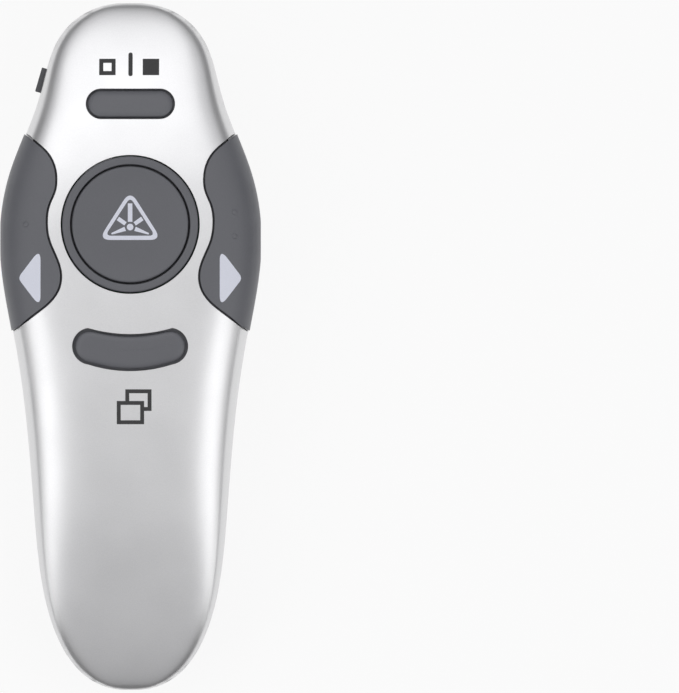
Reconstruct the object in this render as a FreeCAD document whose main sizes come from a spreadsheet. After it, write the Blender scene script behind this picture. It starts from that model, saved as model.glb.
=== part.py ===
"""Hand-held wireless presentation clicker with its USB receiver, millimetres.

X runs across the clicker, +Y towards its head, +Z out of the face with the keys.
The origin lies under the middle of the clicker, at the lowest point of its back.
"""
import FreeCAD, Part

import math
import os
import re

import Sketcher
from FreeCAD import Placement, Rotation, Vector

# Driving sizes, one named cell each. Heights named drop are measured down from the parting line.
SIZES = {
    # The two shells and the parting line between them
    "body_length": 130.0,
    "body_width": 49.0,
    "parting_height": 23.3,
    "back_depth": 23.08,
    "crown_height": 6.7,
    "seam_bow": 3.5,
    "shell_wall": 1.6,
    "seam_gap": 0.35,
    "lip_wall": 0.9,
    "lip_height": 0.9,
    "lip_clearance": 0.15,
    "boss_radius": 2.2,
    "boss_bore": 1.05,
    # Battery cover, its finger recess and the slot in it
    "cover_front": 17.0,
    "cover_side_start": -0.8,
    "cover_drop": 3.25,
    "cover_gap": 0.25,
    "recess_half_width": 11.0,
    "recess_front": 12.7,
    "recess_back": -12.6,
    "recess_floor": 4.1,
    "recess_wall": 1.2,
    "nail_gap": 1.7,
    # Inner floor and walls that carry the cells
    "bay_drop": 2.05,
    "bay_wall": 0.7,
    "bay_front": 34.5,
    # Circuit board
    "board_drop": 0.95,
    "board_wall": 1.0,
    "board_inset": 3.0,
    "board_front": 52.0,
    "board_back": -14.0,
    "chip_width": 6.0,
    "chip_wall": 0.9,
    "crystal_length": 5.0,
    "crystal_width": 3.2,
    # Keys
    "key_gap": 0.42,
    "key_rise": 0.28,
    "key_wall": 1.4,
    "key_rim": 1.0,
    "key_flange": 0.9,
    "key_flange_wall": 0.7,
    "key_flange_gap": 0.3,
    "post_radius": 1.5,
    "screen_key_place": 45.75,
    "screen_key_length": 16.0,
    "screen_key_width": 4.95,
    "window_key_place": -1.15,
    "window_key_length": 21.0,
    "window_key_width": 6.6,
    # Laser button and the ring round it
    "laser_button_place": 23.0,
    "laser_button_radius": 10.86,
    "laser_button_wall": 2.0,
    "laser_button_rise": 0.45,
    "bezel_bore": 11.35,
    "bezel_radius": 12.9,
    "bezel_gap": 0.2,
    "bezel_depth": 3.0,
    "bezel_rise": 0.15,
    "collar_wall": 1.1,
    # Wings, the previous and next keys
    "wing_front": 39.6,
    "wing_back": 3.5,
    "wing_switch_side": 17.6,
    "wing_switch_place": 12.9,
    "wing_seam_gap": 0.55,
    # Push switches
    "switch_width": 5.2,
    "switch_wall": 1.0,
    "plunger_radius": 1.3,
    "plunger_rise": 0.5,
    "plunger_clearance": 0.1,
    "post_gap": 0.05,
    # Power switch and its knob
    "knob_place": 50.2,
    "knob_side": 16.45,
    "knob_slant": 16.3,
    "knob_length": 4.7,
    "knob_height": 2.6,
    "knob_rise": 1.05,
    "knob_groove": 0.4,
    "knob_travel": 2.0,
    "knob_plate_wall": 0.9,
    "knob_plate_height": 4.4,
    "knob_slot_drop": 1.75,
    "knob_gap": 0.3,
    "slider_length": 8.6,
    "slider_depth": 3.4,
    "slider_height": 3.3,
    # Cells and their contacts
    "cell_radius": 5.15,
    "cell_length": 43.3,
    "cell_button_radius": 1.9,
    "cell_button_height": 1.1,
    "cell_front": 8.4,
    "cell_height": 14.9,
    "cell_tilt": 1.2,
    "cell_spacing": 10.9,
    "contact_width": 8.4,
    "contact_height": 7.0,
    "contact_wall": 0.4,
    "contact_gap": 0.15,
    "spring_radius": 2.4,
    "spring_wire": 0.3,
    "spring_length": 3.0,
    # Laser module in the nose
    "laser_height": 16.0,
    "laser_back": 44.0,
    "laser_length": 15.5,
    "barrel_radius": 3.6,
    "barrel_bore": 2.6,
    "lens_radius": 2.5,
    "lens_wall": 1.2,
    "diode_radius": 2.5,
    "diode_length": 3.5,
    "window_radius": 2.4,
    "window_wall": 0.9,
    # Case screws
    "screw_radius": 0.95,
    "screw_head_radius": 1.9,
    "screw_head_height": 1.3,
    "screw_length": 4.5,
    "tail_screw_side": 9.0,
    "tail_screw_place": -47.0,
    "front_screw_side": 15.0,
    "front_screw_place": -6.0,
    # USB receiver, lying nose up in the cover
    "receiver_place": 14.15,
    "receiver_height": 2.75,
    "receiver_tilt": 5.0,
    "receiver_gap": 0.2,
    "receiver_width": 15.3,
    "receiver_length": 6.7,
    "receiver_thickness": 5.4,
    "receiver_lip": 1.55,
    "receiver_flange": 0.9,
    "receiver_groove": 0.45,
    "receiver_grip_zone": 2.9,
    "plug_width": 12.0,
    "plug_thickness": 4.5,
    "plug_length": 11.8,
    "plug_wall": 0.35,
    "plug_root_length": 3.0,
    "plug_root_step": 0.12,
    "plug_window_width": 3.15,
    "plug_window_length": 2.84,
    "plug_window_side": 3.0,
    "plug_window_place": 5.3,
    "tongue_width": 10.8,
    "tongue_wall": 1.9,
    "tongue_inset": 0.6,
    "contact_pad_width": 1.16,
    "contact_pad_length": 8.0,
    "contact_pad_wall": 0.2,
    "contact_inner_side": 1.0,
    "contact_outer_side": 3.5,
    "small_round": 0.4,
    "overrun": 5.0,
}

# Half width, back depth and crown of the body from tail to head, at even turns of the outline's angle
WIDTH_SHARES = [1.50, 1.246, 1.082, 0.955, 0.855, 0.820, 0.884, 1.029, 1.067, 1.016, 1.192, 1.427, 1.65]
DEPTH_SHARES = [1.05, 0.97, 0.855, 0.787, 0.763, 0.825, 0.930, 1.017, 0.965, 0.974, 1.09, 1.16, 1.18]
CROWN_SHARES = [0.42, 0.49, 0.59, 0.71, 0.85, 0.94, 1.0, 1.015, 0.978, 0.85, 0.70, 0.58, 0.51]
# Inner edge of a wing: along the wing from back to front, and across from the body's middle
WING_EDGE_SHARES = [
    (0.000, 0.890), (0.067, 0.755), (0.129, 0.637), (0.199, 0.559), (0.280, 0.539), (0.368, 0.576),
    (0.454, 0.629), (0.543, 0.649), (0.645, 0.629), (0.712, 0.588), (0.778, 0.576), (0.837, 0.588),
    (0.911, 0.645), (0.969, 0.739), (1.000, 0.796),
]
# Window button, as shares of its half width: lobes' inset, their upper and lower edges, tips, middle edges
SADDLE_SHARES = [0.9, 1.28, 0.55, 0.34, 0.933]
# Floor of the finger recess: along its half length from the tail, and up as shares of its height
RECESS_FLOOR_SHARES = [(-1.5, 1), (-0.4, 1.04), (0.45, 1.04), (0.86, 0.62), (1.06, -0.5)]
# Places of the laser module's two saddles along its length
SADDLE_PLACE_SHARES = [0.2, 0.75]
# Front seam of the battery cover: back along the cover, and up from its lowest point
COVER_SEAM_SHARES = [(0.0, 0.0), (0.10, 0.22), (0.376, 0.56), (0.62, 0.84), (0.82, 0.965), (1.0, 1.0)]

document = FreeCAD.newDocument("clicker")
sheet = document.addObject("Spreadsheet::Sheet", "Sizes")
for row, (alias, length) in enumerate(SIZES.items(), start=1):
    sheet.set(f"A{row}", alias)
    sheet.set(f"B{row}", str(length))
    sheet.setAlias(f"B{row}", alias)
document.recompute()
size = {alias: float(sheet.get(alias)) for alias in SIZES}


def formula(text):
    """Point each size's name in a formula at its cell in the sheet."""
    def cell(word):
        alias = word.group()
        return f"Sizes.{alias}" if alias in SIZES else alias

    return re.sub(r"[a-z]\w+", cell, text)


def bind(item, **formulas):
    """Tie an object's properties to formulas over the sheet."""
    for path, text in formulas.items():
        item.setExpression(path.replace("__", "."), formula(text))
    return item


def place(item, x="0", y="0", z="0"):
    """Tie an object's position to formulas over the sheet."""
    return bind(item, Placement__Base__x=x, Placement__Base__y=y, Placement__Base__z=z)


def box(name, length, width, height, x, y, z):
    """A block centred on x and y that stands on z."""
    item = bind(document.addObject("Part::Box", name), Length=length, Width=width, Height=height)
    return place(item, f"({x}) - ({length}) / 2", f"({y}) - ({width}) / 2", z)


def cylinder(name, radius, height, x, y, z):
    """An upright cylinder that stands on z."""
    item = bind(document.addObject("Part::Cylinder", name), Radius=radius, Height=height)
    return place(item, x, y, z)


def cut(name, base, tool):
    """The base without the tool."""
    item = document.addObject("Part::Cut", name)
    item.Base = base
    item.Tool = tool
    return item


def feature(name, shape):
    """A sub-part whose shape is worked out in this script."""
    item = document.addObject("Part::Feature", name)
    item.Shape = shape
    return item


parts = []


def keep(item, label):
    """Name a finished sub-part and list it for export."""
    item.Label = label
    parts.append(item)
    return item


# The body's form: sections along its length, a fuller curve over the face and a rounder one under the back
def share_curve(shares):
    """A smooth share of the outline's angle in degrees, from tail to head."""
    curve = Part.BSplineCurve()
    points = [Vector(index, share, 0) for index, share in enumerate(shares)]
    curve.interpolate(Points=points, Parameters=[float(index) for index in range(len(shares))])
    return lambda angle: curve.value((angle + 90) / 180 * (len(shares) - 1)).y


width_share = share_curve(WIDTH_SHARES)
depth_share = share_curve(DEPTH_SHARES)
crown_share = share_curve(CROWN_SHARES)
half_length = size["body_length"] / 2
half_width = size["body_width"] / 2
top_height = size["parting_height"] + size["crown_height"]


def seam_height(y):
    """Height of the parting line at a place along the body."""
    return size["parting_height"] - size["seam_bow"] * (y / half_length) ** 2


# Corners of a section, across and up or down, as shares of its half width, back depth and crown
SECTION_SHARES = [
    (0.78, -0.70), (0.955, -0.37), (1, 0), (0.997, 0.24), (0.985, 0.48), (0.951, 0.72), (0.86, 0.86),
]


def section(angle, grow):
    """One closed section of the body at an angle of the outline, as arcs, grown or shrunk by a wall."""
    turn = math.radians(angle)
    taper = math.sqrt(math.cos(turn))
    y = (half_length + grow) * math.sin(turn)
    middle = seam_height(half_length * math.sin(turn))
    across = half_width * math.cos(turn) * width_share(angle) + grow * taper
    down = (size["back_depth"] * depth_share(angle) + grow) * taper
    up = (size["crown_height"] * crown_share(angle) + grow) * taper

    def point(side, share):
        height = share[1] * (up if share[1] > 0 else down)
        return Vector(side * across * share[0], y, middle + height)

    right = [point(1, share) for share in SECTION_SHARES]
    left = [Vector(-corner.x, corner.y, corner.z) for corner in reversed(right)]
    points = right + [point(1, (0, 1))] + left + [point(1, (0, -1)), right[0]]
    arcs = [Part.Arc(*points[index : index + 3]).toShape() for index in range(0, len(points) - 1, 2)]
    return Part.Wire(arcs)


def form(grow):
    """The whole outer form of the body, grown or shrunk by a wall."""
    end_angle = 87
    steps = 24
    angles = [end_angle * (2 * index / steps - 1) for index in range(steps + 1)]
    return Part.makeLoft([section(angle, grow) for angle in angles], True, True)


def side_arc(rise):
    """The parting line in the side view, moved up or down, as one arc past both ends."""
    reach = half_length + size["overrun"]
    return [Vector(-2 * half_width, y, seam_height(y) + rise) for y in (-reach, 0, reach)]


def above(rise):
    """All space above the parting line moved by a rise."""
    tail, middle, head = side_arc(rise)
    top = 2 * top_height
    arc = Part.Arc(tail, middle, head).toShape()
    rest = Part.makePolygon([head, Vector(head.x, head.y, top), Vector(tail.x, tail.y, top), tail])
    return Part.Face(Part.Wire([arc] + rest.Edges)).extrude(Vector(4 * half_width, 0, 0))


def block(x_low, x_high, y_low, y_high, z_low, z_high):
    """A plain block between its lowest and highest corners."""
    return Part.makeBox(x_high - x_low, y_high - y_low, z_high - z_low, Vector(x_low, y_low, z_low))


def between(low, high):
    """The layer between two curves parallel to the parting line."""
    return above(low).cut(above(high))


def offset_points(points, clear, normal):
    """Move an open outline sideways by a clearance, in the plane with this normal."""
    moved = []
    for index, point in enumerate(points):
        before = points[max(index - 1, 0)]
        after = points[min(index + 1, len(points) - 1)]
        along = (after - before).normalize()
        moved.append(point + along.cross(normal) * clear)
    return moved


def smooth_edge(points):
    """One smooth curve through an outline's points."""
    curve = Part.BSplineCurve()
    curve.interpolate(Points=points)
    return curve.toShape()


wall = size["shell_wall"]
outer = form(0)
inner = form(-wall)
shell = outer.cut(inner)


# Space of the battery cover, behind its curved front seam and under its side seam
def cover_space(clear):
    """The space behind and under the battery cover's seam, shrunk by a clearance."""
    run = size["cover_front"] - size["cover_side_start"]
    rise = seam_height(size["cover_side_start"]) - size["cover_drop"]
    x = -2 * half_width
    points = [Vector(x, size["cover_front"] - run * back, rise * up) for back, up in COVER_SEAM_SHARES]
    tail = -half_length - size["overrun"]
    steps = 6
    for index in range(1, steps + 1):
        y = size["cover_side_start"] + (tail - size["cover_side_start"]) * index / steps
        points.append(Vector(x, y, seam_height(y) - size["cover_drop"]))
    points = offset_points(points, -clear, Vector(1, 0, 0))
    low = -size["overrun"]
    start = Vector(x, points[0].y, low)
    rest = Part.makePolygon([points[-1], Vector(x, tail, low), start, points[0]])
    face = Part.Face(Part.Wire([smooth_edge(points)] + rest.Edges))
    return face.extrude(Vector(4 * half_width, 0, 0))


# Planforms of the keys, seen from above, grown by a clearance
def upright(edges):
    """Carry a planform up through the whole body."""
    wire = Part.Wire(Part.__sortEdges__(edges))
    return Part.Face(wire).extrude(Vector(0, 0, 2 * top_height))


def screen_planform(clear):
    """Pill outline of the screen button."""
    radius = size["screen_key_width"] / 2 + clear
    reach = size["screen_key_length"] / 2 - size["screen_key_width"] / 2
    y = size["screen_key_place"]
    right_top = Vector(reach, y + radius, 0)
    right_low = Vector(reach, y - radius, 0)
    left_top = Vector(-reach, y + radius, 0)
    left_low = Vector(-reach, y - radius, 0)
    edges = [
        Part.Arc(right_low, Vector(reach + radius, y, 0), right_top),
        Part.LineSegment(right_top, left_top),
        Part.Arc(left_top, Vector(-reach - radius, y, 0), left_low),
        Part.LineSegment(left_low, right_low),
    ]
    return upright([edge.toShape() for edge in edges])


def window_planform(clear):
    """Saddle outline of the window button: a hollow upper edge and a full lower edge."""
    reach = size["window_key_length"] / 2 + clear
    half = size["window_key_width"] / 2
    y = size["window_key_place"]
    inset_share, upper_share, lower_share, tip_share, middle_share = SADDLE_SHARES
    lobe = reach - half * inset_share
    upper_side = Vector(lobe, y + half * upper_share + clear, 0)
    lower_side = Vector(lobe, y - half * lower_share - clear, 0)
    tip = Vector(reach, y + half * tip_share, 0)
    upper_middle = Vector(0, y + half * middle_share + clear, 0)
    lower_middle = Vector(0, y - half * middle_share - clear, 0)

    def mirrored(point):
        return Vector(-point.x, point.y, 0)

    edges = [
        Part.Arc(lower_side, tip, upper_side),
        Part.Arc(upper_side, upper_middle, mirrored(upper_side)),
        Part.Arc(mirrored(upper_side), mirrored(tip), mirrored(lower_side)),
        Part.Arc(mirrored(lower_side), lower_middle, lower_side),
    ]
    return upright([edge.toShape() for edge in edges])


def wing_planform(side, clear):
    """Outline of a wing: a wavy inner edge, and past the body's outline outside."""
    run = size["wing_front"] - size["wing_back"]
    points = []
    for along, across in WING_EDGE_SHARES:
        points.append(Vector(side * half_width * across, size["wing_back"] + run * along, 0))
    before = points[0] + (points[0] - points[1]) * 2
    after = points[-1] + (points[-1] - points[-2]) * 3
    points = offset_points([before] + points + [after], -side * clear, Vector(0, 0, 1))
    far = Vector(side * 2 * half_width, 0, 0)
    corners = [points[-1], Vector(far.x, points[-1].y, 0), Vector(far.x, points[0].y, 0), points[0]]
    return upright([smooth_edge(points)] + Part.makePolygon(corners).Edges)


PLANFORMS = {
    "screen_button": screen_planform,
    "window_button": window_planform,
    "previous_key": lambda clear: wing_planform(-1, clear),
    "next_key": lambda clear: wing_planform(1, clear),
}
board_top = size["parting_height"] - size["board_drop"]
plunger_top = board_top + size["switch_wall"] + size["plunger_rise"]
key_places = {
    "screen_button": (0, size["screen_key_place"]),
    "window_button": (0, size["window_key_place"]),
    "previous_key": (-size["wing_switch_side"], size["wing_switch_place"]),
    "next_key": (size["wing_switch_side"], size["wing_switch_place"]),
}


def post(x, y, low, radius):
    """A round post up to the crown."""
    return Part.makeCylinder(radius, 2 * top_height - low, Vector(x, y, low))


# Keys: a skin that follows the face, a rim, a flange under the face plate and a post over the switch
rise_form = form(size["key_rise"])
skin_form = form(-size["key_wall"])
flange_low = -(wall + size["key_flange_gap"] + size["key_flange_wall"])
flange_top_form = form(-(wall + size["key_flange_gap"]))
flange_low_form = form(flange_low)
key_seam = above(size["wing_seam_gap"])
middle_reach = size["window_key_length"] / 2 + size["key_flange"]
switch_room = block(-middle_reach, middle_reach, -half_length, half_length, 0, plunger_top + size["post_gap"])
for name, planform in PLANFORMS.items():
    body = rise_form.common(planform(0)).cut(flange_low_form)
    hollow = skin_form.common(planform(-size["key_rim"]))
    flange = flange_top_form.cut(flange_low_form).common(planform(size["key_flange"]))
    x, y = key_places[name]
    stem = post(x, y, plunger_top + size["post_gap"], size["post_radius"]).common(outer)
    key = body.cut(hollow).fuse([flange.common(key_seam), stem]).common(key_seam).cut(switch_room)
    keep(feature(name + "_solid", key), name)


# Round pieces as bodies of revolution
def sum_of(text):
    """Work out a sum of sizes and numbers, as the sheet does."""
    total = 0.0
    sign = 1
    for word in text.split():
        if word in ("+", "-"):
            sign = 1 if word == "+" else -1
            continue
        product = 1.0
        for factor in word.split("*"):
            product *= size[factor] if factor in size else float(factor)
        total += sign * product
    return total


def turned(name, points, base=Vector(), rotation=Rotation()):
    """A body of revolution about its own Z axis, from a closed half section of named sizes."""
    item = document.addObject("PartDesign::Body", name + "_body")
    sketch = item.newObject("Sketcher::SketchObject", name + "_section")
    plane = [entry for entry in item.Origin.OriginFeatures if entry.Role == "XZ_Plane"][0]
    sketch.AttachmentSupport = [(plane, "")]
    sketch.MapMode = "FlatFace"
    count = len(points)
    corners = [Vector(sum_of(across), sum_of(up), 0) for across, up in points]
    for index in range(count):
        sketch.addGeometry(Part.LineSegment(corners[index], corners[(index + 1) % count]), False)
    for index in range(count):
        sketch.addConstraint(Sketcher.Constraint("Coincident", index, 2, (index + 1) % count, 1))
    for index, corner in enumerate(points):
        for kind, text in zip(("DistanceX", "DistanceY"), corner):
            number = sketch.addConstraint(Sketcher.Constraint(kind, -1, 1, index, 1, sum_of(text)))
            if any(word in SIZES for word in re.findall(r"[a-z]\w+", text)):
                sketch.setExpression(f"Constraints[{number}]", formula(text))
    turn = item.newObject("PartDesign::Revolution", name + "_turn")
    turn.Profile = sketch
    turn.ReferenceAxis = (sketch, ["V_Axis"])
    turn.Angle = 360
    item.Tip = turn
    item.Placement = Placement(base, rotation)
    return item


# Laser button: a flat cap in the ring, with a flange under the ring and a post over its switch
button_place = size["laser_button_place"]
button_angle = math.degrees(math.asin(button_place / half_length))
button_taper = math.sqrt(math.cos(math.radians(button_angle)))
button_crown = size["crown_height"] * crown_share(button_angle) * button_taper
button_face = seam_height(button_place) + button_crown
cap_top = button_face + size["laser_button_rise"]
post_depth = str(plunger_top + size["post_gap"] - cap_top)
flange_top = "0 - laser_button_rise - bezel_depth - bezel_gap"
flange_low = flange_top + " - key_flange_wall"
keep(
    turned(
        "laser_button",
        [
            ("0", "0"),
            ("laser_button_radius - small_round", "0"),
            ("laser_button_radius", "0 - small_round"),
            ("laser_button_radius", flange_top),
            ("bezel_bore + key_flange", flange_top),
            ("bezel_bore + key_flange", flange_low),
            ("laser_button_radius - key_rim", flange_low),
            ("laser_button_radius - key_rim", "0 - laser_button_wall"),
            ("post_radius", "0 - laser_button_wall"),
            ("post_radius", post_depth),
            ("0", post_depth),
        ],
        Vector(0, button_place, cap_top),
    ),
    "laser_button",
)
keep(
    turned(
        "button_bezel",
        [
            ("bezel_bore", "0 - bezel_depth"),
            ("bezel_radius", "0 - bezel_depth"),
            ("bezel_radius", "bezel_rise - small_round"),
            ("bezel_radius - small_round", "bezel_rise"),
            ("bezel_bore + small_round", "bezel_rise"),
            ("bezel_bore", "bezel_rise - small_round"),
        ],
        Vector(0, button_place, button_face),
    ),
    "button_bezel",
)

# Circuit board, cut to the inside of the body, with notches for the two front case screws
overrun = size["overrun"]
far = 2 * half_width
board_form = form(-size["board_inset"])
board_low = board_top - size["board_wall"]
board_slab = block(-far, far, size["board_back"], size["board_front"], board_low, board_top)
board = board_form.common(board_slab)
for side in (-1, 1):
    x = side * size["front_screw_side"]
    notch_radius = size["boss_radius"] + size["knob_gap"]
    board = board.cut(post(x, size["front_screw_place"], 0, notch_radius))
keep(feature("main_board_solid", board), "main_board")
BOARD_TOP = "parting_height - board_drop"
chip = box(
    "rf_chip_block",
    "chip_width",
    "chip_width",
    "chip_wall",
    "chip_width",
    "board_front - 3 * chip_width",
    BOARD_TOP,
)
keep(chip, "rf_chip")
crystal = box(
    "crystal_block",
    "crystal_length",
    "crystal_width",
    "chip_wall",
    "0 - chip_width",
    "board_front - 3 * chip_width",
    BOARD_TOP,
)
keep(crystal, "crystal")

# Push switches: a case on the board with a bore, and a plunger that the key's post presses
SWITCH_PLACES = {
    "screen": ("0", "screen_key_place"),
    "laser": ("0", "laser_button_place"),
    "window": ("0", "window_key_place"),
    "previous": ("0 - wing_switch_side", "wing_switch_place"),
    "next": ("wing_switch_side", "wing_switch_place"),
}
for name, (x, y) in SWITCH_PLACES.items():
    case = box(name + "_case_block", "switch_width", "switch_width", "switch_wall", x, y, BOARD_TOP)
    bore_radius = "plunger_radius + plunger_clearance"
    bore = cylinder(name + "_case_bore", bore_radius, "2 * switch_wall", x, y, BOARD_TOP)
    keep(cut(name + "_case", case, bore), name + "_switch")
    height = "plunger_rise + switch_wall / 2"
    low = BOARD_TOP + " + switch_wall / 2"
    keep(cylinder(name + "_plunger_pin", "plunger_radius", height, x, y, low), name + "_plunger")

# Face plate: the upper shell with its openings, the collar round the ring and the bosses for the screws
face = shell.common(above(size["seam_gap"]))
openings = [planform(size["key_gap"]) for planform in PLANFORMS.values()]
face = face.cut(openings)
ring_hole = size["bezel_radius"] + size["bezel_gap"]
bosses = [post(0, button_place, button_face - size["bezel_depth"], ring_hole + size["collar_wall"])]
screw_places = []
for side, y in (("tail_screw_side", "tail_screw_place"), ("front_screw_side", "front_screw_place")):
    for sign in (-1, 1):
        screw_places.append((sign * size[side], size[y]))
for x, y in screw_places:
    seat = seam_height(y) - size["bay_drop"] + size["seam_gap"]
    bosses.append(post(x, y, seat, size["boss_radius"]))
inside = form(-wall / 2)
face = face.fuse([boss.common(inside) for boss in bosses])
face = face.cut(post(0, button_place, 0, ring_hole))
for x, y in screw_places:
    floor = seam_height(y) - size["bay_drop"] - size["bay_wall"]
    depth = size["screw_length"] + size["seam_gap"]
    face = face.cut(Part.makeCylinder(size["boss_bore"], depth, Vector(x, y, floor)))
keep(feature("face_plate_solid", face), "face_plate")

# Case screws, driven up from the cells' side through the inner floor into the bosses
screw = turned(
    "case_screw",
    [
        ("0", "0 - screw_head_height"),
        ("screw_head_radius - small_round", "0 - screw_head_height"),
        ("screw_head_radius", "small_round - screw_head_height"),
        ("screw_head_radius", "0"),
        ("screw_radius", "0"),
        ("screw_radius", "screw_length - small_round"),
        ("screw_radius - small_round", "screw_length"),
        ("0", "screw_length"),
    ],
)
document.recompute()
screws = []
for x, y in screw_places:
    copy = screw.Shape.copy()
    copy.translate(Vector(x, y, seam_height(y) - size["bay_drop"] - size["bay_wall"] - size["receiver_gap"]))
    screws.append(copy)
keep(feature("case_screw_set", Part.makeCompound(screws)), "case_screws")

# Receiver's frame: it lies nose up in the cover, behind the hump
receiver_turn = Rotation(Vector(1, 0, 0), size["receiver_tilt"])
receiver_frame = Placement(Vector(0, size["receiver_place"], size["receiver_height"]), receiver_turn)


def in_receiver(shape):
    """Carry a shape from the receiver's own frame to its place in the cover."""
    return shape.transformed(receiver_frame.toMatrix())


# Battery cover: the rear of the lower shell, with the finger recess, the receiver's slot and its cradle
def recess(clear):
    """Space of the finger recess: an oval wall and a floor that is steep towards the head."""
    middle = (size["recess_front"] + size["recess_back"]) / 2
    reach = (size["recess_front"] - size["recess_back"]) / 2
    centre = Vector(0, middle, 0)
    far_end = Vector(0, middle + reach + clear, 0)
    oval = Part.Ellipse(far_end, Vector(size["recess_half_width"] + clear, middle, 0), centre)
    walls = Part.Face(Part.Wire([oval.toShape()])).extrude(Vector(0, 0, top_height))
    walls.translate(Vector(0, 0, -overrun))
    floor = []
    for along, up in RECESS_FLOOR_SHARES:
        floor.append(Vector(-far, middle + reach * along, size["recess_floor"] * up))
    floor = offset_points(floor, -clear, Vector(1, 0, 0))
    low = -2 * overrun
    ends = [floor[-1], Vector(-far, floor[-1].y, low), Vector(-far, floor[0].y, low), floor[0]]
    wire = Part.Wire([smooth_edge(floor)] + Part.makePolygon(ends).Edges)
    return walls.common(Part.Face(wire).extrude(Vector(2 * far, 0, 0)))


cover_region = cover_space(size["cover_gap"])
cover = shell.common(cover_region)
scoop = recess(0)
scoop_skin = recess(size["recess_wall"]).common(outer).common(cover_region)
half_receiver = size["receiver_width"] / 2 + size["receiver_gap"]
cradle_top = size["receiver_thickness"] - 2 * size["receiver_gap"] - size["bay_wall"]
arms = []
for side in (-1, 1):
    near, away = sorted((side * half_receiver, side * (half_receiver + size["bay_wall"])))
    arm = block(near, away, -size["bay_wall"], size["receiver_length"], size["knob_gap"], cradle_top)
    root_depth = size["cover_front"] - size["cover_gap"] - size["receiver_place"] - 2 * size["bay_wall"]
    root = block(near, away, -size["bay_wall"], root_depth, -overrun, cradle_top)
    arms.append(in_receiver(arm.fuse(root)).common(inside))
cover = cover.fuse([scoop_skin] + arms).cut(scoop)
slot = block(
    -size["receiver_width"] / 2 - size["nail_gap"],
    half_receiver - size["receiver_gap"] / 2,
    -size["receiver_gap"] / 2,
    size["receiver_lip"] + size["receiver_gap"] / 2,
    -overrun,
    size["knob_gap"],
)
cover = cover.cut(in_receiver(slot))
keep(feature("battery_cover_solid", cover), "battery_cover")

# Rear housing: the fixed lower shell, its lip, the inner floor and the walls round the cells
housing = shell.cut(above(0)).cut(cover_space(0))
bay_floor = between(-size["bay_drop"] - size["bay_wall"], -size["bay_drop"])
under_floor = above(-size["bay_drop"] - size["bay_wall"] / 2)
bay_end = size["bay_front"] + size["bay_wall"]
floor_plate = bay_floor.common(block(-far, far, -half_length, bay_end, 0, top_height))
front_wall = block(-far, far, size["bay_front"], bay_end, 0, top_height).cut(under_floor)
cell_back = size["cell_front"] - size["cell_length"] - size["cell_button_height"] - size["spring_length"]
stack = size["contact_gap"] * 2 + size["contact_wall"]
cell_side = size["cell_spacing"] / 2 + size["cell_radius"] + size["contact_gap"] * 2
walls = []
wall_low = size["cell_height"] - size["cell_radius"]
for y_low in (size["cell_front"] + stack, cell_back - stack - size["bay_wall"]):
    walls.append(block(-cell_side, cell_side, y_low, y_low + size["bay_wall"], wall_low, top_height))
for side in (-1, 1):
    near, away = sorted((side * cell_side, side * (cell_side + size["bay_wall"])))
    y_low = cell_back - stack - size["bay_wall"]
    y_high = size["cell_front"] + stack + size["bay_wall"]
    walls.append(block(near, away, y_low, y_high, size["cell_height"], top_height))
walls = [entry.cut(under_floor).common(flange_top_form) for entry in walls]
lip_out = form(-wall - size["lip_clearance"])
lip_in = form(-wall - size["lip_clearance"] - size["lip_wall"])
lip = lip_out.cut(lip_in).common(between(-size["lip_height"], size["lip_height"]))
lip_root = inside.cut(lip_in).common(between(-size["lip_height"], 0))
lip = lip.fuse(lip_root)
lip = lip.cut([planform(size["key_flange"] + size["key_gap"]) for planform in PLANFORMS.values()])
knob_frame = Placement(
    Vector(-size["knob_side"], size["knob_place"], seam_height(size["knob_place"])),
    Rotation(Vector(0, 0, 1), -size["knob_slant"]),
)


def at_knob(shape):
    """Carry a shape from the power knob's own frame to its place at the left edge."""
    return shape.transformed(knob_frame.toMatrix())


plate_reach = size["knob_length"] / 2 + size["knob_travel"] + 2 * size["knob_gap"]
knob_room = block(
    0,
    2 * size["slider_depth"],
    -plate_reach - 2 * size["knob_travel"],
    plate_reach + size["knob_travel"],
    -overrun,
    overrun,
)
lip = lip.cut(at_knob(knob_room))
housing = housing.fuse([floor_plate.common(inside), front_wall.common(inside), lip] + walls)
knob_slot = block(
    -overrun,
    wall + size["knob_gap"],
    -size["knob_length"] / 2 - size["knob_travel"] - size["knob_gap"],
    size["knob_length"] / 2 + size["knob_gap"],
    -size["knob_slot_drop"] * 2,
    overrun,
)
housing = housing.cut(at_knob(knob_slot))
laser_axis = Vector(0, 1, 0)
nose = Vector(0, half_length - 3 * wall, size["laser_height"])
nose_boss = Part.makeCylinder(size["barrel_radius"], overrun + 3 * wall, nose, laser_axis).common(outer)
saddles = []
for share in SADDLE_PLACE_SHARES:
    y = size["laser_back"] + size["laser_length"] * share
    half_rib = size["bay_wall"] / 2
    rib = block(-overrun, overrun, y - half_rib, y + half_rib, 0, size["laser_height"])
    saddles.append(rib.common(inside))
housing = housing.fuse([nose_boss] + saddles)
barrel_back = Vector(0, size["laser_back"], size["laser_height"])
room_length = half_length - size["laser_back"] - 3 * wall
room_radius = size["barrel_radius"] + size["contact_gap"]
barrel_room = Part.makeCylinder(room_radius, room_length, barrel_back, laser_axis)
window_seat = Part.makeCylinder(size["window_radius"], 2 * wall, nose, laser_axis)
aperture = Part.makeCylinder(size["window_radius"] - size["small_round"], 3 * overrun, nose, laser_axis)
housing = housing.cut([barrel_room, window_seat, aperture])
hole_depth = 2 * size["bay_wall"] + size["bay_drop"]
for x, y in screw_places:
    hole_start = Vector(x, y, seam_height(y) + size["bay_wall"] / 2 - hole_depth)
    housing = housing.cut(Part.makeCylinder(size["boss_bore"], hole_depth, hole_start))
keep(feature("rear_housing_solid", housing), "rear_housing")

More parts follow.
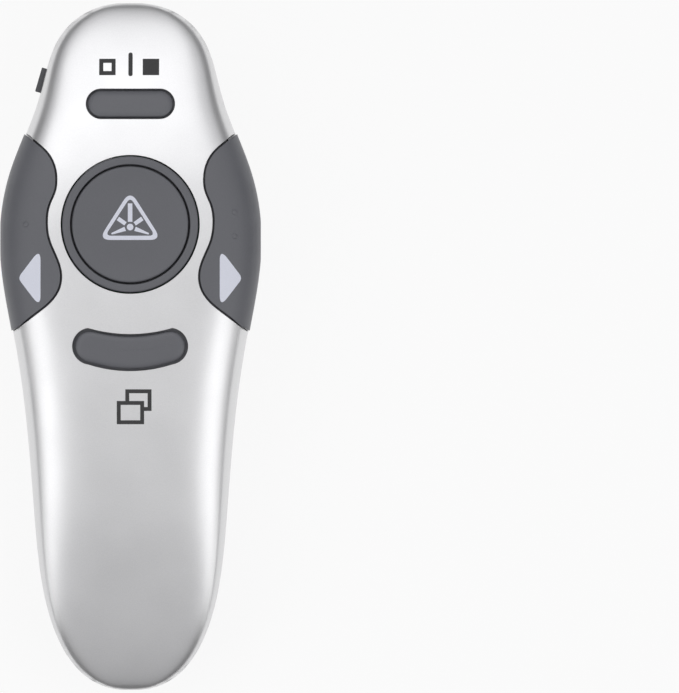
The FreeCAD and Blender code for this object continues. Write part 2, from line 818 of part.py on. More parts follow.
# Laser module: brass barrel with the diode behind and the lens in front, and the window in the nose
ALONG_Y = Rotation(Vector(1, 0, 0), -90)
keep(
    turned(
        "laser_barrel",
        [
            ("barrel_bore", "diode_length"),
            ("diode_radius", "diode_length"),
            ("diode_radius", "0"),
            ("barrel_radius", "0"),
            ("barrel_radius", "laser_length - small_round"),
            ("barrel_radius - small_round", "laser_length"),
            ("barrel_bore", "laser_length"),
        ],
        barrel_back,
        ALONG_Y,
    ),
    "laser_barrel",
)
lens_place = size["laser_back"] + size["laser_length"] - 2 * size["lens_wall"]
for name, radius, length, along in (
    ("laser_diode", "diode_radius", "diode_length", size["laser_back"]),
    ("laser_lens", "lens_radius", "lens_wall", lens_place),
    ("laser_window", "window_radius", "window_wall", half_length - wall - size["window_wall"]),
):
    item = document.addObject("Part::Cylinder", name + "_disc")
    bind(item, Radius=radius, Height=length)
    item.Placement = Placement(Vector(0, along, size["laser_height"]), ALONG_Y)
    keep(item, name)

# Power knob: a ridged grip through the slot, a plate behind the wall and a stub in the slide switch
plate_inner = wall + size["knob_gap"]
half_grip = size["knob_length"] / 2
grip_end = plate_inner + size["knob_plate_wall"]
grip_rise = size["knob_height"] / 2
grip = block(-size["knob_rise"], grip_end, -half_grip, half_grip, -grip_rise, grip_rise)
grooves = 4
groove_step = size["knob_length"] / (grooves + 1)
for index in range(grooves):
    groove_place = groove_step * (index + 1) - half_grip
    near = groove_place - size["knob_groove"] / 2
    groove_end = size["knob_groove"] - size["knob_rise"]
    grip = grip.cut(block(-overrun, groove_end, near, near + size["knob_groove"], -overrun, overrun))
plate = block(
    plate_inner,
    plate_inner + size["knob_plate_wall"],
    -size["knob_length"],
    size["knob_length"],
    -size["knob_plate_height"] / 2,
    size["knob_plate_height"] / 2,
)
stub_half = size["knob_plate_wall"]
case_start = plate_inner + size["knob_plate_wall"] + size["contact_gap"]
stub = block(plate_inner, case_start + 2 * stub_half, -stub_half, stub_half, -stub_half, stub_half)
knob = grip.fuse([plate, stub])
knob.translate(Vector(0, 0, -size["knob_slot_drop"]))
keep(feature("power_knob_solid", at_knob(knob)), "power_knob")
half_case = size["slider_length"] / 2
case = block(case_start, case_start + size["slider_depth"], -half_case, half_case, -size["slider_height"], 0)
room = block(
    case_start - stub_half,
    case_start + 2 * stub_half + size["knob_gap"],
    -stub_half - size["knob_travel"] - size["knob_gap"],
    stub_half + size["knob_gap"],
    -size["knob_slot_drop"] - stub_half - size["contact_gap"],
    -size["knob_slot_drop"] + stub_half + size["contact_gap"],
)
keep(feature("power_switch_solid", at_knob(case.cut(room))), "power_switch_case")

# Two cells side by side, head to tail, with a spring at each one's flat end and plates outside them
cell_points = [
    ("0", "0"),
    ("cell_radius - small_round", "0"),
    ("cell_radius", "small_round"),
    ("cell_radius", "cell_length - small_round"),
    ("cell_radius - small_round", "cell_length"),
    ("cell_button_radius", "cell_length"),
    ("cell_button_radius", "cell_length + cell_button_height"),
    ("0", "cell_length + cell_button_height"),
]
tilt = size["cell_tilt"]
headward = Rotation(Vector(1, 0, 0), tilt - 90)
tailward = Rotation(Vector(1, 0, 0), tilt + 90)
cell_way = headward.multVec(Vector(0, 0, 1))
front_middle = Vector(0, size["cell_front"], size["cell_height"])
cell_side_way = Vector(size["cell_spacing"] / 2, 0, 0)
whole_cell = size["cell_length"] + size["cell_button_height"]
first_base = front_middle - cell_side_way - cell_way * whole_cell
second_base = front_middle + cell_side_way - cell_way * size["spring_length"]
keep(turned("cell_1", cell_points, first_base, headward), "battery_1")
keep(turned("cell_2", cell_points, second_base, tailward), "battery_2")


def coil(base, rotation):
    """A coil spring that stands on its base, between a cell's flat end and a contact plate."""
    turns = 4
    steps_per_turn = 12
    wire_sides = 6
    low = size["spring_wire"] + size["contact_gap"] / 2
    rise = size["spring_length"] - 2 * low
    sections = []
    for step in range(turns * steps_per_turn + 1):
        spin = Rotation(Vector(0, 0, 1), 360 * step / steps_per_turn)
        height = low + rise * step / (turns * steps_per_turn)
        corners = []
        for side in range(wire_sides + 1):
            lean = 2 * math.pi * side / wire_sides
            across = size["spring_radius"] + size["spring_wire"] * math.cos(lean)
            corners.append(spin.multVec(Vector(across, 0, height + size["spring_wire"] * math.sin(lean))))
        sections.append(Part.makePolygon(corners))
    solid = Part.makeLoft(sections, True, True)
    return solid.transformed(Placement(base, rotation).toMatrix())


keep(feature("front_spring_coil", coil(second_base, headward)), "front_spring")
keep(feature("tail_spring_coil", coil(first_base, tailward)), "tail_spring")
plate_y = size["cell_front"] + size["contact_gap"]
half_plate = size["contact_width"] / 2
half_rise = size["contact_height"] / 2
plates = []
plate_low = size["cell_height"] - half_rise
plate_high = size["cell_height"] + half_rise
for side in (-1, 1):
    x = side * size["cell_spacing"] / 2
    plate_end = plate_y + size["contact_wall"]
    plates.append(block(x - half_plate, x + half_plate, plate_y, plate_end, plate_low, plate_high))
keep(feature("front_contact_pair", Part.makeCompound(plates)), "front_contacts")
tail_height = size["cell_height"] - whole_cell * math.sin(math.radians(tilt))
tail_y = cell_back - size["contact_gap"]
tail_reach = size["cell_spacing"] / 2 + half_plate
tail_start = tail_y - size["contact_wall"]
tail_low = tail_height - half_rise
tail_plate = block(-tail_reach, tail_reach, tail_start, tail_y, tail_low, tail_height + half_rise)
keep(feature("tail_contact_plate", tail_plate), "tail_contact")

# USB receiver, built in its own frame: body with grips and lip, shell with windows, tongue and contacts
thick = size["receiver_thickness"]
half = size["receiver_width"] / 2
groove = size["receiver_groove"]
core = block(-half + 2 * groove, half - 2 * groove, 0, size["receiver_length"], groove, thick - groove)
zones = [core]
flange_wall = size["receiver_flange"]
for y_low in (0, size["receiver_length"] - flange_wall):
    zones.append(block(-half, half, y_low, y_low + flange_wall, 0, thick))
grip_start = (size["receiver_length"] - size["receiver_grip_zone"]) / 2
bands = 5
rib = size["receiver_grip_zone"] / bands
half_rib = half - groove / 2
for index in range(0, bands, 2):
    y_low = grip_start + index * rib
    zones.append(block(-half_rib, half_rib, y_low, y_low + rib, groove / 2, thick - groove / 2))
lip_block = block(-half, half, 0, size["receiver_lip"], -overrun, groove)
receiver_body = zones[0].fuse(zones[1:])
half_plug = size["plug_width"] / 2
plug_low = (thick - size["plug_thickness"]) / 2
plug_high = plug_low + size["plug_thickness"]
plug_start = size["receiver_length"] - size["plug_root_length"]
plug_end = size["receiver_length"] + size["plug_length"]
step_depth = size["plug_root_step"]
half_root = half_plug - step_depth
root_end = size["receiver_length"] + step_depth
plug_root = block(-half_root, half_root, plug_start, root_end, plug_low + step_depth, plug_high - step_depth)
receiver_body = receiver_body.cut(plug_root)
tongue_half = size["tongue_width"] / 2
tongue_high = plug_high - size["plug_wall"] - size["contact_gap"]
tongue_low = tongue_high - size["tongue_wall"]
half_room = tongue_half + groove
chip_room = block(-half_room, half_room, flange_wall, plug_start, tongue_low - groove, tongue_high + groove)
receiver_body = in_receiver(receiver_body.cut(chip_room)).fuse(in_receiver(lip_block).common(outer))
keep(feature("receiver_body_solid", receiver_body), "receiver_body")
board_start = flange_wall + size["contact_gap"]
chip_low = tongue_high - size["board_wall"]
receiver_board = block(-tongue_half, tongue_half, board_start, plug_start, chip_low, tongue_high)
keep(feature("receiver_board_solid", in_receiver(receiver_board)), "receiver_board")
tongue_end = plug_end - size["tongue_inset"]
tongue = block(-tongue_half, tongue_half, plug_start, tongue_end, tongue_low, tongue_high)
keep(feature("receiver_tongue_solid", in_receiver(tongue)), "receiver_tongue")
pads = []
pad_end = plug_end - 2 * size["tongue_inset"]
pad_start = pad_end - size["contact_pad_length"]
pad_low = tongue_low - size["contact_pad_wall"]
half_pad = size["contact_pad_width"] / 2
for place_name in ("contact_inner_side", "contact_outer_side"):
    for x in (-size[place_name], size[place_name]):
        pads.append(block(x - half_pad, x + half_pad, pad_start, pad_end, pad_low, tongue_low))
keep(feature("receiver_contact_set", in_receiver(Part.makeCompound(pads))), "receiver_contacts")
plug = block(-half_plug, half_plug, root_end, plug_end, plug_low, plug_high).fuse(plug_root)
hollow = block(
    -half_plug + size["plug_wall"],
    half_plug - size["plug_wall"],
    plug_start - overrun,
    plug_end + overrun,
    plug_low + size["plug_wall"],
    plug_high - size["plug_wall"],
)
windows = []
y_high = plug_end - size["plug_window_place"]
y_low = y_high - size["plug_window_length"]
half_window = size["plug_window_width"] / 2
for x in (-size["plug_window_side"], size["plug_window_side"]):
    windows.append(block(x - half_window, x + half_window, y_low, y_high, -overrun, thick + overrun))
keep(feature("receiver_plug_solid", in_receiver(plug.cut([hollow] + windows))), "receiver_plug")

# Check every object, then write each sub-part
document.recompute()
for item in document.Objects:
    if "Invalid" in item.State or "Error" in item.State:
        raise RuntimeError(f"{item.Name} failed: {item.State}")
os.makedirs("parts", exist_ok=True)
faulty = [item.Label for item in parts if item.Shape.isNull() or not item.Shape.isValid()]
if faulty:
    raise RuntimeError(f"no valid shape: {faulty}")
for item in parts:
    print(f"{item.Label}: {len(item.Shape.Solids)} solids, {item.Shape.Volume:.1f} mm3")
    item.Shape.exportStep(f"parts/{item.Label}.step")
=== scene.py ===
"""Dresses the hand-held presentation clicker: its shells, keys, prints, inner works and USB receiver."""
import math

import bmesh
import bpy
import numpy as np
from mathutils import Matrix, Vector
from mathutils.bvhtree import BVHTree


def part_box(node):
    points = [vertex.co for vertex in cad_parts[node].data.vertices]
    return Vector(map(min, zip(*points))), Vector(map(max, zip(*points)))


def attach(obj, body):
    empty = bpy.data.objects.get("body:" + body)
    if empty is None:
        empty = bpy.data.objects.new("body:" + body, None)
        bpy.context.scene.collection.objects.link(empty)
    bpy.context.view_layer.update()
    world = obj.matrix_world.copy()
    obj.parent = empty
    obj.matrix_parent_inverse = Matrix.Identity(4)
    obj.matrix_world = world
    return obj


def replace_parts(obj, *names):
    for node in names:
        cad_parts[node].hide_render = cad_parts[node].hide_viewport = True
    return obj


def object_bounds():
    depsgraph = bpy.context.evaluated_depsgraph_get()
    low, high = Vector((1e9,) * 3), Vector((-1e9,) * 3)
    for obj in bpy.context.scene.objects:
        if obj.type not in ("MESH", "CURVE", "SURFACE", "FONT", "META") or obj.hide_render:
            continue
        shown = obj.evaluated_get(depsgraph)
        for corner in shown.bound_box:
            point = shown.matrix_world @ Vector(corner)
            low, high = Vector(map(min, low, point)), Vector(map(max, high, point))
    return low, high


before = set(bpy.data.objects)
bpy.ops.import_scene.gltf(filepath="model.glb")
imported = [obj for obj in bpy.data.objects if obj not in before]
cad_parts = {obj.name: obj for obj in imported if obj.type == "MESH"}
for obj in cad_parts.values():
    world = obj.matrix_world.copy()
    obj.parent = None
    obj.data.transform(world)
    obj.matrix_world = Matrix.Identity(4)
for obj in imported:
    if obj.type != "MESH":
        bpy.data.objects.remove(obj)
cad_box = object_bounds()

# Rear housing
# The fixed lower shell, moulded in ABS and sprayed with the same satin silver as the face.
# It carries the lip, the inner floor and the cell walls, and is screwed to the face from inside.
mm = 0.001
body_length = 130.0
body_width = 49.0
parting_height = 23.3
back_depth = 23.08
crown_height = 6.7
seam_bow = 3.5
end_angle = 87
width_shares = [1.50, 1.246, 1.082, 0.955, 0.855, 0.820, 0.884, 1.029, 1.067, 1.016, 1.192, 1.427, 1.65]
depth_shares = [1.05, 0.97, 0.855, 0.787, 0.763, 0.825, 0.930, 1.017, 0.965, 0.974, 1.09, 1.16, 1.18]
crown_shares = [0.42, 0.49, 0.59, 0.71, 0.85, 0.94, 1.0, 1.015, 0.978, 0.85, 0.70, 0.58, 0.51]
section_shares = [
    (0.78, -0.70), (0.955, -0.37), (1, 0), (0.997, 0.24), (0.985, 0.48), (0.951, 0.72), (0.86, 0.86),
]
round_section_shares = [
    (0.38, -0.945), (0.68, -0.79), (0.87, -0.57), (0.955, -0.37), (0.99, -0.19), (1.0, -0.07), (1.0, 0),
    (1.0, 0.17), (0.985, 0.35), (0.957, 0.54), (0.908, 0.71), (0.825, 0.86), (0.67, 0.955), (0.38, 1.0),
]


def smooth_shares(shares):
    """A smooth share of the outline's angle, through values at even turns from tail to head."""
    count = len(shares)
    values = np.array(shares)
    system = np.eye(count)
    pulls = np.zeros(count)
    pulls[0] = np.dot((-11, 18, -9, 2), values[:4]) / 6
    pulls[-1] = -np.dot((-11, 18, -9, 2), values[: -5 : -1]) / 6
    for index in range(1, count - 1):
        system[index, index - 1 : index + 2] = 1, 4, 1
        pulls[index] = 3 * (values[index + 1] - values[index - 1])
    slopes = np.linalg.solve(system, pulls)

    def share(angle):
        along = (angle + 90) / 180 * (count - 1)
        index = min(int(along), count - 2)
        step = along - index
        rest = 1 - step
        ends = values[index] * (1 + 2 * step) * rest**2 + values[index + 1] * (3 - 2 * step) * step**2
        return ends + slopes[index] * step * rest**2 - slopes[index + 1] * step**2 * rest

    return share


width_share = smooth_shares(width_shares)
depth_share = smooth_shares(depth_shares)
crown_share = smooth_shares(crown_shares)


def seam_height(y):
    """Height of the parting line in mm at a place along the body."""
    return parting_height - seam_bow * (y / (body_length / 2)) ** 2


def arc_points(start, middle, end, count):
    """Points along the arc through three points of a section, without its end."""
    a, b, c = (complex(*point) for point in (start, middle, end))
    across = (c - a) / (b - a)
    if abs(across.imag) < 1e-9:
        return [a + (c - a) * index / count for index in range(count)]
    centre = a + (b - a) * (across - abs(across) ** 2) / (2j * across.imag)
    turn = np.angle((b - centre) / (a - centre)) + np.angle((c - centre) / (b - centre))
    return [centre + (a - centre) * np.exp(1j * turn * index / count) for index in range(count)]


def rounded_section(across, down, up):
    """One closed section without corners: its shares drawn as a soft curve."""
    right = [complex(side, rise) for side, rise in round_section_shares]
    left = [complex(-point.real, point.imag) for point in reversed(right)]
    points = np.array([-1j] + right + [1j] + left)
    for halving in range(3):
        points = np.repeat(points, 2)
        for blend in range(3):
            points = (points + np.roll(points, -1)) / 2
    rise = points.imag / np.where(points.imag > 0, points.imag.max(), -points.imag.min())
    return points.real / points.real.max() * across + 1j * rise * np.where(rise > 0, up, down)


def section_points(angle, grow, rounded):
    """One closed section of the body in metres, at an angle of the outline, grown in mm."""
    turn = math.radians(angle)
    taper = math.sqrt(math.cos(turn))
    half_length = body_length / 2
    across = body_width / 2 * math.cos(turn) * width_share(angle) + grow * taper
    down = (back_depth * depth_share(angle) + grow) * taper
    up = (crown_height * crown_share(angle) + grow) * taper
    right = [(across * side, rise * (up if rise > 0 else down)) for side, rise in section_shares]
    left = [(-side, rise) for side, rise in reversed(right)]
    corners = right + [(0, up)] + left + [(0, -down), right[0]]
    points = rounded_section(across, down, up) if rounded else []
    for index in () if rounded else range(0, len(corners) - 1, 2):
        points += arc_points(*corners[index : index + 3], 10)
    middle = seam_height(half_length * math.sin(turn))
    y = (half_length + grow) * math.sin(turn)
    return [Vector((point.real, y, middle + point.imag)) * mm for point in points]


def body_form(name, grow, rounded=True):
    """The whole form of the body, grown in mm, kept out of sight as a guide."""
    steps = 192
    angles = [end_angle * (2 * index / steps - 1) for index in range(steps + 1)]
    rings = [section_points(angle, grow, rounded) for angle in angles]
    around = len(rings[0])
    faces = []
    for ring in range(steps):
        for index in range(around):
            after = (index + 1) % around
            faces.append((ring * around + index, (ring + 1) * around + index,
                          (ring + 1) * around + after, ring * around + after))
    faces.append(tuple(range(around)))
    faces.append(tuple(steps * around + index for index in reversed(range(around))))
    mesh = bpy.data.meshes.new(name)
    mesh.from_pydata([point for ring in rings for point in ring], [], faces)
    mesh.shade_smooth()
    guide = bpy.data.objects.new(name, mesh)
    bpy.context.collection.objects.link(guide)
    guide.hide_render = True
    guide.hide_viewport = True
    return guide


def guide_tree(guide):
    """A search tree over a guide's surface."""
    points = [vertex.co for vertex in guide.data.vertices]
    return BVHTree.FromPolygons(points, [tuple(face.vertices) for face in guide.data.polygons])


shell_form = body_form("shell_form", 0)
shell_tree = guide_tree(shell_form)
shell_arcs = guide_tree(body_form("shell_arcs", 0, rounded=False))


def add_piece(name, mesh, finish, body):
    """A finished mesh as a piece that moves with its body."""
    piece = bpy.data.objects.new(name, mesh)
    bpy.context.collection.objects.link(piece)
    piece.data.materials.clear()
    piece.data.materials.append(finish)
    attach(piece, body)
    return piece


def patch_numbers(mesh):
    """The lowest vertex of each vertex's patch. Each face of a solid is a patch of its own."""
    lowest = np.arange(len(mesh.vertices))
    edges = np.array([tuple(edge.vertices) for edge in mesh.edges])
    settled = False
    while not settled:
        before = lowest.copy()
        lower_end = lowest[edges].min(axis=1)
        for end in (0, 1):
            np.minimum.at(lowest, edges[:, end], lower_end)
        settled = (lowest == before).all()
    return lowest.tolist()


def soft_shell(name, node, finish, body, guide, arcs):
    """A shell with its outer skin laid on the soft form instead of the solid's arcs."""
    shell = add_piece(name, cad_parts[node].data.copy(), finish, body)
    shell.data.shade_smooth()
    patches = patch_numbers(shell.data)
    places = [tuple(round(value / mm, 3) for value in vertex.co) for vertex in shell.data.vertices]
    skin_reach = 0.35
    blend_reach = 0.6
    least_likeness = 0.85
    other_patches = set()
    pull = {}
    for vertex, patch, place in zip(shell.data.vertices, patches, places):
        spot, way, face, distance = arcs.find_nearest(vertex.co)
        alike = vertex.normal.dot(way) > least_likeness
        if distance > skin_reach * mm or not alike:
            other_patches.add(patch)
        if alike:
            pull[place] = max(pull.get(place, 0), 1 - distance / (blend_reach * mm))
    outer = [index for index, patch in enumerate(patches) if patch not in other_patches]
    pull.update((places[index], 1) for index in outer)
    skin = shell.vertex_groups.new(name="skin")
    outside = shell.vertex_groups.new(name="outside")
    outside.add(outer, 1.0, "REPLACE")
    for index, place in enumerate(places):
        if place in pull:
            skin.add([index], pull[place], "REPLACE")
    finer = shell.modifiers.new("finer", "SUBSURF")
    finer.subdivision_type = "SIMPLE"
    finer.use_custom_normals = True
    finer.levels = 2
    finer.render_levels = 2
    wrap = shell.modifiers.new("wrap", "SHRINKWRAP")
    wrap.target = guide
    wrap.wrap_method = "NEAREST_SURFACEPOINT"
    wrap.vertex_group = skin.name
    shading = shell.modifiers.new("shading", "DATA_TRANSFER")
    shading.object = guide
    shading.use_loop_data = True
    shading.data_types_loops = {"CUSTOM_NORMAL"}
    shading.loop_mapping = "POLYINTERP_NEAREST"
    shading.vertex_group = outside.name
    bpy.context.view_layer.update()
    laid = bpy.data.meshes.new_from_object(shell.evaluated_get(bpy.context.evaluated_depsgraph_get()))
    laid.name = name
    for vertex in laid.vertices:
        vertex.co = [min(max(value, low), high) for value, low, high in zip(vertex.co, *cad_box)]
    shell.modifiers.clear()
    shell.data = laid
    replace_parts(shell, node)
    return shell


def make_finish(name, colour, roughness, metallic=0.0, grain=0.4, relief=0.01, mottle=0.05, coat=0.0):
    """A finish with a fine grain and its relief in mm, cloudy colour and uneven gloss."""
    finish = bpy.data.materials.new(name)
    finish.use_nodes = True
    nodes = finish.node_tree.nodes
    links = finish.node_tree.links
    shader = nodes["Principled BSDF"]
    shader.inputs["Metallic"].default_value = metallic
    shader.inputs["Coat Weight"].default_value = coat
    place = nodes.new("ShaderNodeTexCoord")
    speckle = nodes.new("ShaderNodeTexNoise")
    speckle.inputs["Scale"].default_value = 1 / (grain * mm)
    speckle.inputs["Detail"].default_value = 3.0
    clouds = nodes.new("ShaderNodeTexNoise")
    cloud_width = 9 * mm
    clouds.inputs["Scale"].default_value = 1 / cloud_width
    links.new(place.outputs["Object"], speckle.inputs["Vector"])
    links.new(place.outputs["Object"], clouds.inputs["Vector"])
    blend = nodes.new("ShaderNodeMix")
    blend.data_type = "FLOAT"
    blend.inputs["Factor"].default_value = 0.3
    links.new(speckle.outputs["Fac"], blend.inputs["A"])
    links.new(clouds.outputs["Fac"], blend.inputs["B"])
    tint = nodes.new("ShaderNodeValToRGB")
    tint.color_ramp.elements[0].position = 0.3
    tint.color_ramp.elements[1].position = 0.7
    tint.color_ramp.elements[0].color = [channel * (1 - mottle) for channel in colour] + [1]
    tint.color_ramp.elements[1].color = [min(channel * (1 + mottle), 1) for channel in colour] + [1]
    links.new(blend.outputs["Result"], tint.inputs["Fac"])
    links.new(tint.outputs["Color"], shader.inputs["Base Color"])
    gloss = nodes.new("ShaderNodeMapRange")
    gloss.inputs["From Min"].default_value = 0.3
    gloss.inputs["From Max"].default_value = 0.7
    gloss.inputs["To Min"].default_value = roughness * 0.93
    gloss.inputs["To Max"].default_value = roughness * 1.07
    links.new(clouds.outputs["Fac"], gloss.inputs["Value"])
    links.new(gloss.outputs["Result"], shader.inputs["Roughness"])
    bump = nodes.new("ShaderNodeBump")
    bump.inputs["Distance"].default_value = relief * mm
    links.new(speckle.outputs["Fac"], bump.inputs["Height"])
    links.new(bump.outputs["Normal"], shader.inputs["Normal"])
    return finish


def dress(node, finish):
    """Give a solid of the frame its finish."""
    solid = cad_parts[node]
    solid.data.materials.clear()
    solid.data.materials.append(finish)
    return solid


shell_silver = (0.77, 0.77, 0.775)
silver = make_finish(
    "silver_lacquer", shell_silver, 0.30, metallic=0.8, grain=0.22, relief=0.003, mottle=0.035)
soft_shell("rear_shell", "rear_housing", silver, "case", shell_form, shell_arcs)


# ON and OFF beside the power knob
# Small dark letters, pad-printed on the side of the rear housing under the knob's slot.
ink_thickness = 0.03
ink_grid = 0.7


def flat_mesh(drawing):
    """The filled flat mesh of a drawn outline or a word."""
    holder = bpy.data.objects.new("drawing", drawing)
    bpy.context.collection.objects.link(holder)
    bpy.context.view_layer.update()
    mesh = bpy.data.meshes.new_from_object(holder.evaluated_get(bpy.context.evaluated_depsgraph_get()))
    bpy.data.objects.remove(holder)
    return mesh


def print_on(name, drawing, tree, finish, body, stand=Matrix()):
    """Ink in the form of a drawing, dropped along -Z of its stand onto a surface."""
    mesh = flat_mesh(drawing)
    mesh.name = name
    film = bmesh.new()
    film.from_mesh(mesh)
    for axis in (0, 1):
        way = Vector((1 - axis, axis, 0))
        reach = [vertex.co[axis] for vertex in film.verts]
        step = math.floor(min(reach) / (ink_grid * mm))
        while step * ink_grid * mm < max(reach):
            whole = film.verts[:] + film.edges[:] + film.faces[:]
            place = way * step * ink_grid * mm
            bmesh.ops.bisect_plane(film, geom=whole, plane_co=place, plane_no=way)
            step += 1
    bmesh.ops.triangulate(film, faces=film.faces[:])
    drop = (stand.to_3x3() @ Vector((0, 0, -1))).normalized()
    for vertex in film.verts:
        start = stand @ vertex.co
        spot = tree.ray_cast(start, drop)[0]
        vertex.co = spot - drop * ink_thickness * mm
    bmesh.ops.recalc_face_normals(film, faces=film.faces[:])
    if sum(face.normal.dot(drop) for face in film.faces) > 0:
        bmesh.ops.reverse_faces(film, faces=film.faces[:])
    film.to_mesh(mesh)
    film.free()
    piece = add_piece(name, mesh, finish, body)
    depth = piece.modifiers.new("depth", "SOLIDIFY")
    depth.thickness = 2 * ink_thickness * mm
    depth.offset = -1
    return piece


dark_ink = make_finish("dark_ink", (0.042, 0.042, 0.043), 0.6, grain=0.2, relief=0.002, mottle=0.12)
knob_place = Vector((-16.45, 50.2, seam_height(50.2)))
knob_slant = math.radians(-16.3)
letter_height = 1.45
letter_drop = 4.2
letter_shift = 2.1
letter_scale = 1.4
print_reach = 9
side_stand = Matrix.Rotation(knob_slant, 4, "Z") @ Matrix.Rotation(math.radians(-90), 4, "Y")
for word, shift in (("ON", letter_shift), ("OFF", -letter_shift)):
    lettering = bpy.data.curves.new("word_" + word.lower(), "FONT")
    lettering.body = word
    lettering.size = letter_height * letter_scale * mm
    lettering.align_x = "RIGHT"
    lettering.align_y = "CENTER"
    spot = knob_place + Matrix.Rotation(knob_slant, 3, "Z") @ Vector((-print_reach, shift, -letter_drop))
    stand = Matrix.Translation(spot * mm) @ side_stand
    print_on("word_" + word.lower(), lettering, shell_tree, dark_ink, "case", stand)

# Laser module
# A turned brass barrel with the diode pressed in behind and a moulded lens in front.
# It lies on two ribs of the rear housing and shines through a dark window in the nose.
barrel_brass = make_finish("turned_brass", (0.72, 0.50, 0.24), 0.28, metallic=1.0, grain=0.3, mottle=0.08)
plain_steel = make_finish("plain_steel", (0.55, 0.55, 0.56), 0.3, metallic=1.0, grain=0.3, mottle=0.08)
lens_clear = make_finish("clear_lens", (0.92, 0.95, 1.0), 0.05, grain=0.5, relief=0.001, mottle=0.01)
lens_clear.node_tree.nodes["Principled BSDF"].inputs["Transmission Weight"].default_value = 1.0
window_dark = make_finish("dark_window", (0.045, 0.008, 0.010), 0.08, grain=0.5, relief=0.001, coat=1.0)
dress("laser_barrel", barrel_brass)
dress("laser_diode", plain_steel)
dress("laser_lens", lens_clear)
dress("laser_window", window_dark)

# Circuit board with its chip, crystal and push switches
# Glass-fibre board under green lacquer, with tinned steel switch cases soldered on it.
# Each black plunger stands under the post of its key.
board_green = make_finish("board_lacquer", (0.012, 0.12, 0.045), 0.35, grain=1.2, relief=0.02, mottle=0.35)
chip_black = make_finish("chip_resin", (0.018, 0.018, 0.019), 0.5, grain=0.15, relief=0.01, mottle=0.2)
plunger_black = make_finish("plunger_resin", (0.025, 0.025, 0.026), 0.45, grain=0.3)
dress("main_board", board_green)
dress("rf_chip", chip_black)
dress("crystal", plain_steel)
for key in ("screen", "laser", "window", "previous", "next"):
    dress(key + "_switch", plain_steel)
    dress(key + "_plunger", plunger_black)

# Power switch and its ridged knob
# A slide switch in a tinned case, moved by a dark knob that stands out at the left edge.
# The knob is moulded with ridges across it for the thumb nail, and its edges are eased.


def ease(solid, width, segments=2):
    """Round the sharp edges of a plain solid by a width in mm."""
    weld = solid.modifiers.new("weld", "WELD")
    weld.merge_threshold = 0.002 * mm
    rounding = solid.modifiers.new("rounding", "BEVEL")
    rounding.width = width * mm
    rounding.segments = segments
    rounding.limit_method = "ANGLE"
    rounding.angle_limit = math.radians(40)
    crisp = solid.modifiers.new("crisp", "EDGE_SPLIT")
    crisp.split_angle = math.radians(50)
    return solid


knob_grey = make_finish("knob_resin", (0.085, 0.086, 0.095), 0.42, grain=0.3, relief=0.004, mottle=0.1)
dress("power_switch_case", plain_steel)
grip_length = 4.7
grip_height = 2.6
grip_rise = 1.05
grip_depth = 2.8
grip_drop = 1.75
slot_count = 4
slot_width = 0.42
slot_depth = 0.3
slot_rim = 0.35
knob = bmesh.new()
bmesh.ops.create_cube(knob, size=1)
for vertex in knob.verts:
    x, y, z = vertex.co
    across = (x + 0.5) * (grip_rise + grip_depth) - grip_rise
    vertex.co = Vector((across, y * grip_length, z * grip_height)) * mm
slot_places = [grip_length * ((index + 1) / (slot_count + 1) - 0.5) for index in range(slot_count)]
cuts = [(Vector((0, 1, 0)), place + side * slot_width / 2) for place in slot_places for side in (-1, 1)]
cuts += [(Vector((0, 0, 1)), side * (grip_height / 2 - slot_rim)) for side in (-1, 1)]
for way, place in cuts:
    whole = knob.verts[:] + knob.edges[:] + knob.faces[:]
    bmesh.ops.bisect_plane(knob, geom=whole, plane_co=way * place * mm, plane_no=way)
slots = []
for face in knob.faces:
    middle = face.calc_center_median() / mm
    nearest = min(abs(middle.y - place) for place in slot_places)
    on_front = middle.x < 0.01 - grip_rise
    if on_front and nearest < slot_width / 2 and abs(middle.z) < grip_height / 2 - slot_rim:
        slots.append(face)
floors = bmesh.ops.extrude_discrete_faces(knob, faces=slots)["faces"]
for floor_face in floors:
    bmesh.ops.translate(knob, verts=floor_face.verts[:], vec=(slot_depth * mm, 0, 0))
grip_place = knob_place - Vector((0, 0, grip_drop))
knob_turn = Matrix.Translation(grip_place * mm) @ Matrix.Rotation(knob_slant, 4, "Z")
bmesh.ops.transform(knob, matrix=knob_turn, verts=knob.verts[:])
bmesh.ops.recalc_face_normals(knob, faces=knob.faces[:])
knob_mesh = bpy.data.meshes.new("ridged_knob")
knob.to_mesh(knob_mesh)
knob.free()
ridged_knob = ease(add_piece("ridged_knob", knob_mesh, knob_grey, "power_slider"), 0.12)
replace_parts(ridged_knob, "power_knob")

# Springs and contact plates of the cells
# Bent from plated spring wire and pressed from plated strip, held between the cell walls.
spring_plate = make_finish("nickel_plate", (0.62, 0.60, 0.56), 0.25, metallic=1.0, grain=0.3, mottle=0.06)
for node in ("front_spring", "tail_spring", "front_contacts", "tail_contact"):
    dress(node, spring_plate)

# Screen button and window button
# Grey satin caps with a crowned top and a rounded edge, that stand a little proud of the face.
# A flange under the face keeps each one in.
key_rise = 0.28
key_grey = (0.142, 0.145, 0.160)
key_plastic = make_finish("key_plastic", key_grey, 0.40, grain=0.2, relief=0.004, mottle=0.05)
key_form = body_form("key_form", key_rise)
key_tree = guide_tree(key_form)
edge_reach = 1.15
edge_fall = 0.42
flange_top = 1.9
flange_wall = 0.7
flange_reach = 0.9
cap_wall = 1.4
skirt_wall = 1.0


above = 60


def form_height(tree, x, y):
    """Height in metres of a form over a place in mm."""
    return tree.ray_cast(Vector((x, y, above)) * mm, Vector((0, 0, -1)))[0].z


def offset_outline(outline, inset):
    """A closed outline moved inwards by an inset, with a point for every point."""
    count = len(outline)
    moved = []
    for index, point in enumerate(outline):
        along = (outline[(index + 1) % count] - outline[index - 1])
        along /= abs(along)
        moved.append(point + along * 1j * inset)
    return moved


